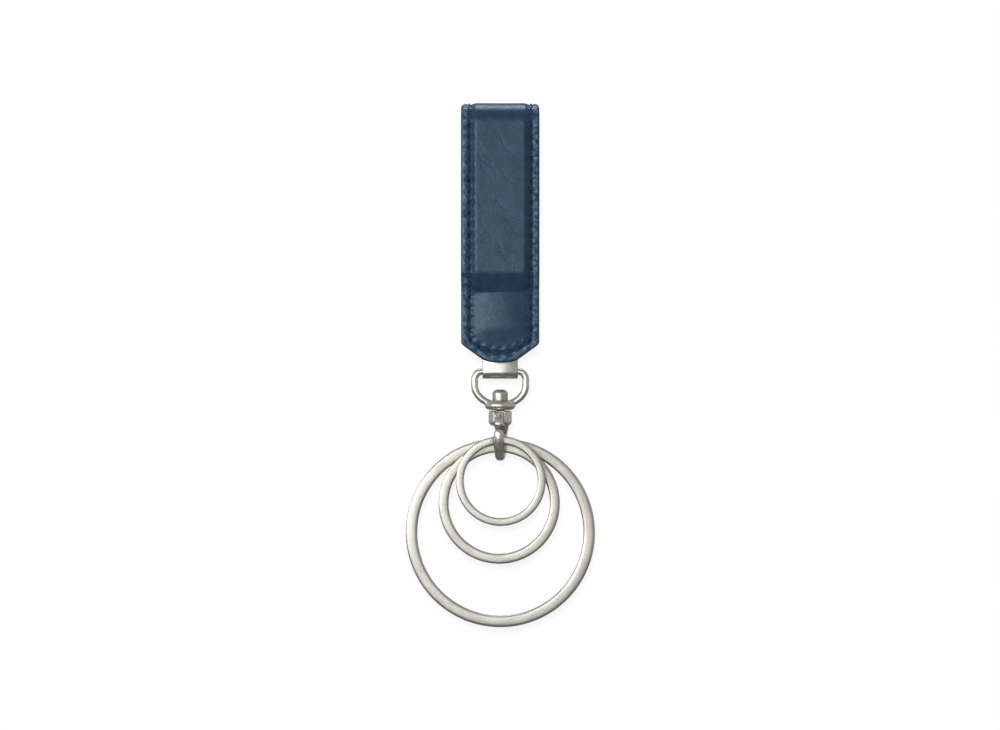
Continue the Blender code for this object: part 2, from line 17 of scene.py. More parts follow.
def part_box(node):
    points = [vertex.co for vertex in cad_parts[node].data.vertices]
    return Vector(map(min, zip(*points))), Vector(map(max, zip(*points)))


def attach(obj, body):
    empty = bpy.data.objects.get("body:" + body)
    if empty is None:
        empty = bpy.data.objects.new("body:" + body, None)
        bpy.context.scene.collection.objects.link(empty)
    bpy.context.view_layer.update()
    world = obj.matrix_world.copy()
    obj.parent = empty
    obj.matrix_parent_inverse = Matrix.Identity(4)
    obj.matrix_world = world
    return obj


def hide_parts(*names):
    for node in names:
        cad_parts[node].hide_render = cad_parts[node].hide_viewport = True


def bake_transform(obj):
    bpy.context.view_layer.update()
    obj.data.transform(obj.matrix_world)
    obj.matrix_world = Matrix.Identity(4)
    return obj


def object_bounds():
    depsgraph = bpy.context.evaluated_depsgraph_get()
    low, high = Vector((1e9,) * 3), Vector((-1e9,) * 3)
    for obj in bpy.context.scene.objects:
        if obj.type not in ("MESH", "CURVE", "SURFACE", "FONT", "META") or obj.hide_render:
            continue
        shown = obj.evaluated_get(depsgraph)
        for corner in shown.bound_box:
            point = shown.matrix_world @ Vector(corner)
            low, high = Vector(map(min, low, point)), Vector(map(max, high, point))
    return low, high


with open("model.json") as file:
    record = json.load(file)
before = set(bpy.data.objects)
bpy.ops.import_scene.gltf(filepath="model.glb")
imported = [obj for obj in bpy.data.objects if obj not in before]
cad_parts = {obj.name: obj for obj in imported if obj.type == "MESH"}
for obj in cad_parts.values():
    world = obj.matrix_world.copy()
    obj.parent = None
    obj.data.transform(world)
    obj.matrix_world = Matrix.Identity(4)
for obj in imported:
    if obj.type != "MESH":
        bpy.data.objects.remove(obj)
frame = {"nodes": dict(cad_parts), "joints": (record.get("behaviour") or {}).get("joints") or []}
CAD_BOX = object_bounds()

MM = 0.001


def box_mm(node):
    """Lowest and highest corner of a CAD node in millimetres."""
    low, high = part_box(node)
    return np.array(low) / MM, np.array(high) / MM


def joint_mm(name):
    """A joint's place in millimetres."""
    found = next(joint for joint in frame["joints"] if joint["name"] == name)
    return np.array(found["pos_m"]) / MM


# Places taken from the frame.
LEATHER_LOW, LEATHER_HIGH = box_mm("outer_leather_front")
HALF_WIDTH = LEATHER_HIGH[0]
PANEL_DEPTH = -LEATHER_LOW[1]
TONGUE_TIP = LEATHER_LOW[2] - 0.04
BAR_Y, BAR_Z = joint_mm("d_ring_swing")[1:]
GATE_AXIS = next(joint["axis"] for joint in frame["joints"] if joint["name"] == "gate_open")
HOOK_YAW = math.atan2(GATE_AXIS[1], GATE_AXIS[0])

# The belt-side curve of the clip.
BELT_GAP = 5.0
FOLD_RADIUS = BELT_GAP / 2
FOLD_Z = 17.7
STEP_TOP = -20.9
STEP_BOTTOM = -25.3
STEP_BACK = 3.7
STEP_TOP_RADIUS = 0.4
STEP_BOTTOM_RADIUS = 3.2
LIP_START = -28.5
LIP_RADIUS = 7.0
LIP_TURN = math.radians(38)

# Layers at depths outside that curve.
LINING_DEPTH = 0.85
LEATHER_INNER = 0.9
MARGIN_DEPTH = 1.85
PLATE_MIDDLE = 1.3
PLATE_THICKNESS = 0.8
PLATE_HALF_WIDTH = 6.0

# Leather relief.
PANEL_CROWN_X = 6.2
PANEL_FOOT_X = 7.6
PANEL_END = -34.8
PANEL_FADE_END = -41.2
EDGE_ROUND = 0.4
FOLD_EDGE_ROUND = 0.5
FOLD_FILL = 0.55
GRID = 0.25
LINING_GRID = 0.4
SEAM_X = 8.05
SEAM_BOTTOM = -42.1
SEAM_RISE = 3.2
SEAM_END_INSET = 2.2
STITCH = 2.85
THREAD_RADIUS = 0.21
GROOVE = 0.15
HOLE = 0.62
PUCKER = 0.15


# ---------------------------------------------------------------- numbers and meshes


def ease(low, high, value):
    """0 below low, 1 above high, smooth in between."""
    share = np.clip((value - low) / (high - low), 0, 1)
    return share * share * (3 - 2 * share)


def add_piece(name, points, faces, material, sharp=50):
    """A mesh object from points in millimetres."""
    mesh = bpy.data.meshes.new(name)
    mesh.from_pydata((np.asarray(points, float) * MM).tolist(), [], [list(face) for face in faces])
    mesh.materials.append(material)
    mesh.shade_smooth()
    mesh.set_sharp_from_angle(angle=math.radians(sharp))
    obj = bpy.data.objects.new(name, mesh)
    bpy.context.scene.collection.objects.link(obj)
    return obj


def store(obj, name, values):
    """A vector for each vertex, which the materials read."""
    attribute = obj.data.attributes.new(name, "FLOAT_VECTOR", "POINT")
    attribute.data.foreach_set("vector", np.asarray(values, np.float32).ravel())


def loft(sections):
    """Points and faces of a closed solid through equal loops of points."""
    sections = np.asarray(sections, float)
    count, around = sections.shape[:2]
    faces = []
    for i in range(count - 1):
        for k in range(around):
            after = (k + 1) % around
            faces.append((i * around + k, i * around + after, (i + 1) * around + after, (i + 1) * around + k))
    faces.append(tuple(reversed(range(around))))
    faces.append(tuple(range((count - 1) * around, count * around)))
    return sections.reshape(-1, 3), faces


def face_outward(obj):
    """Turns the faces so that they all point out."""
    bm = bmesh.new()
    bm.from_mesh(obj.data)
    bmesh.ops.recalc_face_normals(bm, faces=bm.faces)
    bm.to_mesh(obj.data)
    bm.free()


def through(controls, step):
    """A smooth curve through control rows, with points about one step apart."""
    rows = np.asarray(controls, float)
    padded = np.vstack([2 * rows[0] - rows[1], rows, 2 * rows[-1] - rows[-2]])
    result = []
    for i in range(len(rows) - 1):
        a, b, c, d = padded[i:i + 4]
        count = max(1, round(np.linalg.norm((c - b)[:3]) / step))
        for k in range(count):
            t = k / count
            square, cube = 2 * a - 5 * b + 4 * c - d, 3 * b - a - 3 * c + d
            result.append(0.5 * (2 * b + (c - a) * t + square * t**2 + cube * t**3))
    result.append(rows[-1])
    return np.array(result)


def tube_sections(points, radii, across, sides=24, flatness=1):
    """Round sections along points of a plane whose normal is across, flattened within that plane."""
    points = np.asarray(points, float)
    ahead = np.gradient(points, axis=0)
    outward = np.cross(ahead, across)
    outward /= np.linalg.norm(outward, axis=1)[:, None]
    angles = np.linspace(0, 2 * math.pi, sides, endpoint=False)
    along = np.cos(angles)[None, :, None] * np.asarray(across, float)
    circle = along + flatness * np.sin(angles)[None, :, None] * outward[:, None]
    return points[:, None] + np.asarray(radii, float)[:, None, None] * circle


def turned(profile, steps=64):
    """Points and faces of a solid of revolution about Z. The profile runs from the axis back to the axis."""
    points = [(0, 0, profile[0][1])]
    faces = []
    rows = profile[1:-1]
    for radius, z in rows:
        points += [
            (radius * math.cos(a), radius * math.sin(a), z)
            for a in (2 * math.pi * k / steps for k in range(steps))
        ]
    points.append((0, 0, profile[-1][1]))
    last = len(points) - 1
    for k in range(steps):
        after = (k + 1) % steps
        faces.append((0, 1 + after, 1 + k))
        for i in range(len(rows) - 1):
            low, high = 1 + i * steps, 1 + (i + 1) * steps
            faces.append((low + k, low + after, high + after, high + k))
        low = 1 + (len(rows) - 1) * steps
        faces.append((low + k, low + after, last))
    return np.array(points, float), faces


def rounded(corners, radius, steps=4):
    """A (radius, z) profile with its inner corners rounded."""
    rows = [corners[0]]
    for i in range(1, len(corners) - 1):
        before, corner, after = (np.array(corners[k], float) for k in (i - 1, i, i + 1))
        one, two = before - corner, after - corner
        reach = min(radius, np.linalg.norm(one) / 2.05, np.linalg.norm(two) / 2.05)
        start = corner + one / np.linalg.norm(one) * reach
        end = corner + two / np.linalg.norm(two) * reach
        for k in range(steps + 1):
            t = k / steps
            rows.append(tuple((1 - t) ** 2 * start + 2 * t * (1 - t) * corner + t**2 * end))
    rows.append(corners[-1])
    return rows


def block(low, high):
    """Points and faces of a box."""
    points = [(x, y, z) for x in (low[0], high[0]) for y in (low[1], high[1]) for z in (low[2], high[2])]
    faces = [(0, 1, 3, 2), (4, 6, 7, 5), (0, 4, 5, 1), (2, 3, 7, 6), (0, 2, 6, 4), (1, 5, 7, 3)]
    return np.array(points, float), faces


def rod_x(radius, half_length, y, z, steps=40):
    """Points and faces of a round bar along X."""
    profile = [(0, -half_length), (radius, -half_length), (radius, half_length), (0, half_length)]
    points, faces = turned(profile, steps)
    return points[:, [2, 0, 1]] + (0, y, z), faces


def cast(name, parts, cutters, voxel, relax, material):
    """Solids joined and cut, then meshed finely and relaxed, so that joins and edges are softly rounded."""
    points, faces = [], []
    for part_points, part_faces in parts:
        faces += [[len(points) + k for k in face] for face in part_faces]
        points += list(part_points)
    obj = add_piece(name, np.array(points) / MM, faces, material)
    bpy.context.view_layer.objects.active = obj
    steps = [("REMESH", None)] + [("BOOLEAN", cutter) for cutter in cutters]
    steps += [("REMESH", None), ("SMOOTH", None)]
    helpers = []
    face_outward(obj)
    for kind, cutter in steps:
        modifier = obj.modifiers.new(kind, kind)
        if kind == "REMESH":
            modifier.mode = "VOXEL"
            modifier.voxel_size = voxel
        elif kind == "BOOLEAN":
            helper = add_piece(name + "_cutter", np.array(cutter[0]) / MM, cutter[1], material)
            face_outward(helper)
            modifier.operation = "DIFFERENCE"
            modifier.object = helper
            helpers.append(helper)
        else:
            modifier.factor = 0.5
            modifier.iterations = relax
    graph = bpy.context.evaluated_depsgraph_get()
    mesh = bpy.data.meshes.new_from_object(obj.evaluated_get(graph))
    obj.modifiers.clear()
    obj.data = mesh
    mesh.transform(Matrix.Scale(MM, 4))
    mesh.materials.clear()
    mesh.materials.append(material)
    mesh.shade_smooth()
    for helper in helpers:
        bpy.data.objects.remove(helper, do_unlink=True)
    return obj


# ---------------------------------------------------------------- strap in unrolled coordinates


def clip_path():
    """Stations (y, z, heading) along the belt-side curve, from the tongue over the fold to the lip."""
    slope = math.atan2(STEP_BACK, STEP_TOP - STEP_BOTTOM)
    reach = math.tan(slope / 2)
    corner_low = STEP_BOTTOM - STEP_BOTTOM_RADIUS * reach
    corner_high = STEP_TOP + STEP_TOP_RADIUS * reach
    ramp = math.hypot(STEP_BACK, STEP_TOP - STEP_BOTTOM) - (STEP_BOTTOM_RADIUS + STEP_TOP_RADIUS) * reach
    legs = [
        (corner_low - TONGUE_TIP, 0),
        (STEP_BOTTOM_RADIUS, slope),
        (ramp, 0),
        (STEP_TOP_RADIUS, -slope),
        (FOLD_Z - corner_high, 0),
        (FOLD_RADIUS, -math.pi),
        (FOLD_Z - LIP_START, 0),
        (LIP_RADIUS, LIP_TURN),
    ]
    y, z, heading = STEP_BACK, TONGUE_TIP, math.pi / 2
    rows = [(y, z, heading)]
    marks = [0]
    for size, turn in legs:
        length = abs(size * turn) if turn else size
        count = max(8, math.ceil(length / 0.05))
        chord = 2 * size * math.sin(abs(turn) / count / 2) if turn else size / count
        for _ in range(count):
            heading += turn / count / 2
            y += chord * math.cos(heading)
            z += chord * math.sin(heading)
            heading += turn / count / 2
            rows.append((y, z, heading))
        marks.append(len(rows) - 1)
    return np.array(rows), marks


PATH, PATH_MARKS = clip_path()
OUTWARD = np.stack([-np.sin(PATH[:, 2]), np.cos(PATH[:, 2])], axis=1)
AT_MARGIN = PATH[:, :2] + OUTWARD * MARGIN_DEPTH
ALONG = np.concatenate([[0], np.cumsum(np.linalg.norm(np.diff(AT_MARGIN, axis=0), axis=1))])
S_STEP_TOP = ALONG[PATH_MARKS[4]]
S_FOLD_START, S_FOLD_END = ALONG[PATH_MARKS[5]], ALONG[PATH_MARKS[6]]
S_FOLD = (S_FOLD_START + S_FOLD_END) / 2
S_LIP = ALONG[PATH_MARKS[7]]
S_END = ALONG[-1]
S_TONGUE_JOIN = -34.0 - TONGUE_TIP
S_BACK_JOIN = S_END - 6.0
S_SPLIT = S_STEP_TOP + 0.6


def place(x, s, depth):
    """Points of the strap at unrolled places and depths outside the belt-side curve."""
    heading = np.interp(s, ALONG, PATH[:, 2])
    y = np.interp(s, ALONG, PATH[:, 0]) - np.sin(heading) * depth
    z = np.interp(s, ALONG, PATH[:, 1]) + np.cos(heading) * depth
    return np.stack(np.broadcast_arrays(x, y, z), axis=-1)


def tongue_edge(x):
    """The tongue's lower edge as an unrolled place: rounded nose, diagonals and soft shoulders."""
    side = np.abs(x)
    nose_half, nose, shoulder_half, shoulder, corner = 4.6, -43.95, 9.4, -40.5, -39.4
    in_nose = np.clip(1 - (side / nose_half) ** 2, 0, 1) ** (1 / 1.3)
    in_shoulder = np.clip((HALF_WIDTH - side) / (HALF_WIDTH - shoulder_half), 0, 1) ** (1 / 1.6)
    z = np.where(
        side < nose_half,
        nose + (TONGUE_TIP - nose) * in_nose,
        np.where(
            side < shoulder_half,
            nose + (shoulder - nose) * (side - nose_half) / (shoulder_half - nose_half),
            corner + (shoulder - corner) * in_shoulder,
        ),
    )
    return z - TONGUE_TIP


def back_edge(x):
    """The back leaf's end as an unrolled place, with rounded corners."""
    corner = 2.6
    over = np.clip(np.abs(x) - (HALF_WIDTH - corner), 0, corner)
    return S_END - (corner - np.sqrt(corner**2 - over**2 + 1e-9))


def strap_grid(spacing, rounding):
    """Unrolled x and s of a grid whose rows follow the tongue's and the back leaf's edges, and each point's
    distance from the nearest edge."""
    turn = np.linspace(0, math.pi / 2, 6)[1:]
    flat = HALF_WIDTH - rounding
    middle = np.linspace(-flat, flat, 2 * round(flat / spacing) + 1)
    rim = flat + rounding * np.sin(turn)
    columns = np.concatenate([-rim[::-1], middle, rim])
    lead = rounding * (1 - np.sin(turn[::-1]))

    def fractions(length):
        rest = np.linspace(rounding, length, max(2, round((length - rounding) / spacing)) + 1)
        return np.concatenate([lead, rest]) / length

    start, end = tongue_edge(columns), back_edge(columns)
    rows = [start + (S_TONGUE_JOIN - start) * f for f in fractions(S_TONGUE_JOIN)]
    count = round((S_BACK_JOIN - S_TONGUE_JOIN) / spacing)
    rows += [np.full_like(columns, s) for s in np.linspace(S_TONGUE_JOIN, S_BACK_JOIN, count + 1)[1:]]
    rows += [end - (end - S_BACK_JOIN) * f for f in fractions(S_END - S_BACK_JOIN)[::-1][1:]]
    s = np.array(rows)
    x = np.broadcast_to(columns, s.shape)
    slant = np.gradient(start, columns)
    edge = np.minimum(HALF_WIDTH - np.abs(x), (s - start) / np.sqrt(1 + slant**2))
    edge = np.minimum(edge, end - s)
    return x, s, np.maximum(edge, 0)


def seam_curve():
    """The closed seam in unrolled coordinates, with its running length: round the tongue, over the fold and
    round the back leaf."""
    x = np.linspace(0, SEAM_X, 60)
    bottom = SEAM_BOTTOM + SEAM_RISE * (x / SEAM_X) ** 2 - TONGUE_TIP
    end = S_END - SEAM_END_INSET
    side = np.arange(bottom[-1], end, 0.1)
    across = np.arange(SEAM_X, 0, -0.1)
    right = np.concatenate(
        [
            np.stack([x, bottom], axis=1),
            np.stack([np.full_like(side, SEAM_X), side], axis=1)[1:],
            np.stack([across, np.full_like(across, end)], axis=1),
        ]
    )
    left = right[::-1] * (-1, 1)
    curve = np.concatenate([right, left[:-1]])
    window = 17
    padded = np.concatenate([curve[-window:], curve, curve[:window]])
    kernel = np.ones(window) / window
    soft = np.stack([np.convolve(padded[:, i], kernel, "same")[window:-window] for i in (0, 1)], axis=1)
    closed = np.concatenate([soft, soft[:1]])
    length = np.concatenate([[0], np.cumsum(np.linalg.norm(np.diff(closed, axis=0), axis=1))])
    return closed, length


SEAM, SEAM_LENGTH = seam_curve()
STITCH_COUNT = round(SEAM_LENGTH[-1] / STITCH)
PITCH = SEAM_LENGTH[-1] / STITCH_COUNT


def seam_distance(x, s):
    """Distance of each unrolled place from the seam, and the running length of its nearest point."""
    tree = kdtree.KDTree(len(SEAM))
    for i, (seam_x, seam_s) in enumerate(SEAM):
        tree.insert((seam_x, seam_s, 0), i)
    tree.balance()
    found = [tree.find((a, b, 0)) for a, b in zip(x.ravel().tolist(), s.ravel().tolist())]
    distance = np.array([hit[2] for hit in found]).reshape(x.shape)
    running = SEAM_LENGTH[[hit[1] for hit in found]].reshape(x.shape)
    return distance, running


def stitch_relief(x, s, groove, hole, pucker):
    """How far the seam pulls the leather in: a groove, a dip at each hole and puckers between them."""
    distance, running = seam_distance(x, s)
    phase = running / PITCH
    to_hole = (phase - np.round(phase)) * PITCH
    inside = np.exp(-((distance / 0.42) ** 2))
    dips = np.exp(-((distance / 0.34) ** 2) - (to_hole / 0.42) ** 2)
    ridges = np.exp(-(((distance - 0.95) / 0.5) ** 2)) * np.cos(2 * math.pi * phase)
    return groove * inside + hole * dips + pucker * ridges


def fold_share(s):
    """1 over the top of the fold, fading to both leaves."""
    return np.exp(-(((s - S_FOLD) / 5.0) ** 2))


def edge_drop(edge, radius):
    """How far a rounded edge falls off at a distance from the outline."""
    inside = np.maximum(radius - edge, 0)
    return radius - np.sqrt(np.maximum(radius**2 - inside**2, 0))


def panel_share(x, s):
    """How far the leather stands up over the spring plate, from 0 on the margins to 1 on the panel."""
    across = 1 - ease(PANEL_CROWN_X, PANEL_FOOT_X, np.abs(x))
    start = ease(PANEL_FADE_END - TONGUE_TIP, PANEL_END - TONGUE_TIP, s)
    end = 1 - ease(S_LIP - 0.5, S_LIP + 2.5, s)
    return across * start * end


def wrinkles(x, s):
    """Soft swells and a few slanted creases in the leather."""
    swell = np.array(
        [noise.noise((a * 0.16, b * 0.10, 3.7)) for a, b in zip(x.ravel().tolist(), s.ravel().tolist())]
    ).reshape(x.shape)
    depth = 0.05 * swell
    draw = random.Random(11)
    for _ in range(46):
        centre_x, centre_s = draw.uniform(-6.5, 6.5), draw.uniform(4, S_LIP)
        slant = math.radians(draw.uniform(20, 70))
        length, width, height = draw.uniform(1.5, 4.5), draw.uniform(0.22, 0.4), draw.uniform(0.015, 0.045)
        along = (x - centre_x) * math.cos(slant) - (s - centre_s) * math.sin(slant)
        aside = (x - centre_x) * math.sin(slant) + (s - centre_s) * math.cos(slant)
        bend = aside + 0.35 * np.sin(along * 0.9 + centre_x)
        depth -= height * np.exp(-((along / length) ** 2) - (bend / width) ** 2)
    return depth


def leather_depth(x, s, edge):
    """The outer leather's surface as a depth outside the belt-side curve."""
    panel = panel_share(x, s)
    fold = fold_share(s)
    margin = MARGIN_DEPTH + FOLD_FILL * fold
    crown = 0.12 * np.sin(np.clip(edge / 2.0, 0, 1) * math.pi)
    depth = margin + (PANEL_DEPTH - margin) * panel + crown * (1 - panel)
    depth -= stitch_relief(x, s, GROOVE, HOLE, PUCKER) * (1 - 0.5 * panel) * (1 - 0.6 * fold)
    tongue = 1 - ease(S_STEP_TOP - 8, S_STEP_TOP - 3, s)
    depth -= 0.8 * tongue * (x / 7.0) ** 2 * panel
    depth += wrinkles(x, s) * ease(0.3, 1.5, edge)
    return depth - edge_drop(edge, EDGE_ROUND + FOLD_EDGE_ROUND * fold)


def sheet(outer, inner, keep):
    """Points and faces of a closed sheet between two grids, over the cells to keep."""
    rows, columns = keep.shape
    total = (rows + 1) * (columns + 1)
    index = np.arange(total).reshape(rows + 1, columns + 1)
    corners = np.stack([index[:-1, :-1], index[:-1, 1:], index[1:, 1:], index[1:, :-1]], axis=-1)
    top = corners[keep]
    faces = top.tolist() + (top[:, ::-1] + total).tolist()
    padded = np.pad(keep, 1)
    sides = (
        (padded[:-2, 1:-1], 1, 0),
        (padded[1:-1, 2:], 2, 1),
        (padded[2:, 1:-1], 3, 2),
        (padded[1:-1, :-2], 0, 3),
    )
    for beside, first, second in sides:
        rim = corners[keep & ~beside]
        a, b = rim[:, first], rim[:, second]
        faces += np.stack([a, b, b + total, a + total], axis=1).tolist()
    points = np.concatenate([outer.reshape(-1, 3), inner.reshape(-1, 3)])
    return points, faces


def without_loose(points, faces, *extras):
    """Drops the points that no face uses."""
    used = np.unique([k for face in faces for k in face])
    renumber = np.full(len(points), -1)
    renumber[used] = np.arange(len(used))
    return (points[used], [[renumber[k] for k in face] for face in faces], *(extra[used] for extra in extras))


def strap_piece(name, outer, inner, unrolled, keep, material):
    """One closed piece of a strap layer, which keeps its unrolled coordinates for the material."""
    points, faces = sheet(outer, inner, keep)
    points, faces, data = without_loose(points, faces, np.concatenate([unrolled.reshape(-1, 3)] * 2))
    obj = add_piece(name, points, faces, material, sharp=60)
    store(obj, "unrolled", data)
    if obj.data.polygons[0].normal.dot(Vector((0, -1, 0))) < -0.9:
        obj.data.flip_normals()
    return obj


def split_rows(s):
    """Row index where the strap is split between the tongue's piece and the folded piece."""
    middle = s.shape[1] // 2
    return int(np.argmin(np.abs(s[:, middle] - S_SPLIT)))


def make_layer(name, x, s, edge, outer_depth, inner_depth, keep, material, replaced):
    """A strap layer as two pieces: the tongue on the front body, and the folded rest, which keeps its rest
    shape.
    """
    outer, inner = place(x, s, outer_depth), place(x, s, inner_depth)
    unrolled = np.stack([x, s, edge], axis=-1)
    row = split_rows(s)
    low, high = keep.copy(), keep.copy()
    low[row:] = False
    high[:row] = False
    tongue = strap_piece(name + "_tongue", outer, inner, unrolled, low, material)
    folded = strap_piece(name + "_strap", outer, inner, unrolled, high, material)
    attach(tongue, "clip_front")
    bend_with_clip(folded)
    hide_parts(replaced[0])
    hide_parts(replaced[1])
    return tongue, folded


def bend_with_clip(obj):
    """Bakes the transform of a piece that runs over the fold into its mesh; nothing makes it bend as the clip
    is opened.
    """
    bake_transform(obj)


# ---------------------------------------------------------------- strap pieces

# The slot through which the spring's tail leaves the lining.
SLOT_HALF = 5.0
SLOT_TOP = -35.9
SLOT_BOTTOM = -39.9


def make_leather(material):
    x, s, edge = strap_grid(GRID, EDGE_ROUND)
    outer = leather_depth(x, s, edge)
    inner = LEATHER_INNER + (PANEL_DEPTH - 1.05 - LEATHER_INNER) * panel_share(x, s)
    keep = np.ones((x.shape[0] - 1, x.shape[1] - 1), bool)
    replaced = ("outer_leather_front", "outer_leather_back")
    pieces = make_layer("leather", x, s, edge, outer, inner, keep, material, replaced)


def make_lining(material):
    x, s, edge = strap_grid(LINING_GRID, 0.25)
    belt_side = stitch_relief(x, s, 0.12, 0.2, 0.03) + edge_drop(edge, 0.25)
    outer = np.full_like(x, LINING_DEPTH)
    z = np.interp(s, ALONG, PATH[:, 1])
    in_slot = (np.abs(x) < SLOT_HALF) & (s < S_STEP_TOP - 6) & (z > SLOT_BOTTOM) & (z < SLOT_TOP)
    keep = ~(in_slot[:-1, :-1] & in_slot[1:, 1:] & in_slot[:-1, 1:] & in_slot[1:, :-1])
    replaced = ("lining_front", "lining_back")
    pieces = make_layer("lining", x, s, edge, outer, belt_side, keep, material, replaced)


def stitch_sections(number, depth, outward_sign):
    """One stitch as sections along the seam, with its ends pulled down into the holes."""
    share = np.linspace(0, 1, 11)
    running = (number + 0.07 + 0.86 * share) * PITCH
    x = np.interp(running, SEAM_LENGTH, SEAM[:, 0])
    s = np.interp(running, SEAM_LENGTH, SEAM[:, 1])
    ahead = np.stack([np.gradient(x), np.gradient(s)], axis=1)
    ahead /= np.linalg.norm(ahead, axis=1)[:, None]
    slant = 0.13 * (2 * share - 1)
    x, s = x - ahead[:, 1] * slant, s + ahead[:, 0] * slant
    level = depth(x, s) - outward_sign * 0.5 * np.abs(2 * share - 1) ** 3.5
    middle = place(x, s, level)
    over = place(x, s, level + outward_sign) - middle
    tangent = np.gradient(middle, axis=0)
    tangent /= np.linalg.norm(tangent, axis=1)[:, None]
    side = np.cross(tangent, over)
    side /= np.linalg.norm(side, axis=1)[:, None]
    angles = np.linspace(0, 2 * math.pi, 10, endpoint=False)
    radius = THREAD_RADIUS * (1 - 0.35 * np.abs(2 * share - 1) ** 4)
    circle = np.cos(angles)[None, :, None] * side[:, None] + np.sin(angles)[None, :, None] * over[:, None]
    twist = np.stack(
        np.broadcast_arrays(running[:, None], angles[None, :], float(number)), axis=-1
    )
    return middle[:, None] + radius[:, None, None] * circle, twist


def make_stitches(name, material, depth, outward_sign, replaced):
    """The single stitches of one face of the strap, in a front piece and a piece over the fold, which keeps
    its rest shape.
    """
    groups = {"front": [], "fold": []}
    for number in range(STITCH_COUNT):
        middle = np.interp((number + 0.5) * PITCH, SEAM_LENGTH, SEAM[:, 1])
        groups["front" if middle < S_FOLD_START - 3 else "fold"].append(number)
    for group, numbers in groups.items():
        points, faces, twists = [], [], []
        for number in numbers:
            sections, twist = stitch_sections(number, depth, outward_sign)
            part_points, part_faces = loft(sections)
            faces += [[len(points) + k for k in face] for face in part_faces]
            points += part_points.tolist()
            twists += twist.reshape(-1, 3).tolist()
        obj = add_piece(f"{name}_{group}", points, faces, material)
        face_outward(obj)
        store(obj, "twist", twists)
        if group == "front":
            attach(obj, "clip_front")
        else:
            bend_with_clip(obj)
        if replaced:
            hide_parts(replaced[group])


def outer_thread_depth(x, s):
    fold = fold_share(s)
    return MARGIN_DEPTH + FOLD_FILL * fold + 0.12 - GROOVE * (1 - 0.6 * fold) + 0.08 + 0 * x


def inner_thread_depth(x, s):
    return 0.12 - 0.04 + 0 * x


# ---------------------------------------------------------------- spring plate

# The tail: where it narrows, leaves the tongue and lies behind it, its front face and its turn round the bar.
TAIL_SHOULDER = -33.0
TAIL_LEAVES = -36.4
TAIL_BEHIND = -39.2
TAIL_FRONT_FACE = 4.3
TAIL_HALF_WIDTH = 4.65
TAIL_TURN = 286
PLATE_CORNER = 0.22


def plate_path():
    """The spring plate's middle line: down the front leaf and the tongue, out behind it and round the bar."""
    inside = STEP_BACK - PLATE_MIDDLE
    rows = [(s, PLATE_MIDDLE) for s in np.arange(S_FOLD - 1.2, -34.0 - TONGUE_TIP, -0.5)]
    upper = [tuple(place(0.0, s, depth)[1:]) for s, depth in rows]
    outside = TAIL_FRONT_FACE + PLATE_THICKNESS / 2
    for share in np.linspace(0, 1, 13):
        rise = share * share * (3 - 2 * share)
        upper.append((inside + (outside - inside) * rise, TAIL_LEAVES + (TAIL_BEHIND - TAIL_LEAVES) * share))
    radius = BAR_Y - outside
    upper += [(outside, z) for z in np.linspace(TAIL_BEHIND, BAR_Z, 18)[1:-1]]
    for angle in np.radians(np.linspace(180, 180 + TAIL_TURN, 74)):
        upper.append((BAR_Y + radius * math.cos(angle), BAR_Z + radius * math.sin(angle)))
    return np.array(upper)


def make_plate(material):
    """The flat spring with rounded edges, full width inside the leather and narrower where it leaves it."""
    path = plate_path()
    ahead = np.gradient(path, axis=0)
    ahead /= np.linalg.norm(ahead, axis=1)[:, None]
    side = np.stack([-ahead[:, 1], ahead[:, 0]], axis=1)
    half = np.where(path[:, 1] > TAIL_SHOULDER, PLATE_HALF_WIDTH, TAIL_HALF_WIDTH)
    thick = PLATE_THICKNESS / 2
    rim = np.radians(np.linspace(-90, 90, 7))
    outline = [(1, PLATE_CORNER * math.cos(a) - PLATE_CORNER, thick * math.sin(a)) for a in rim]
    outline += [(-1, -(PLATE_CORNER * math.cos(a) - PLATE_CORNER), -thick * math.sin(a)) for a in rim]
    sections = []
    for i, (y, z) in enumerate(path):
        sections.append(
            [
                (sign * half[i] + inset, y + side[i, 0] * offset, z + side[i, 1] * offset)
                for sign, inset, offset in outline
            ]
        )
    points, faces = loft(sections)
    obj = add_piece("spring_plate", points, faces, material)
    face_outward(obj)
    run = np.concatenate([[0], np.cumsum(np.linalg.norm(np.diff(path, axis=0), axis=1))])
    grain = np.stack([points[:, 0], np.repeat(run, len(outline)) * 0.06, np.zeros(len(points))], axis=1)
    store(obj, "grain", grain)
    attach(obj, "clip_front")
    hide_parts("spring_plate_front")


# ---------------------------------------------------------------- D-ring and hook

D_WIRE = 0.925
D_HALF_WIDTH = 6.72
D_CORNER = 2.2
D_BAR_END = 4.95
BOSS_RADIUS = 4.03
BOSS_BELLY = 1.5
BOSS_BORE = 1.45
PIN_SHANK = 1.2
PIN_FOOT = 0.85
PIN_STEP = -57.35


def barrel(radius, top, bottom, belly):
    """The boss's outline from its axis down and back, with a rounded wall."""
    middle, half = (top + bottom) / 2, (top - bottom) / 2
    rows = [(0, top)]
    for angle in np.radians(np.linspace(90, -90, 17)):
        rows.append((radius - belly + belly * math.cos(angle), middle + half * math.sin(angle)))
    return rows + [(0, bottom)]


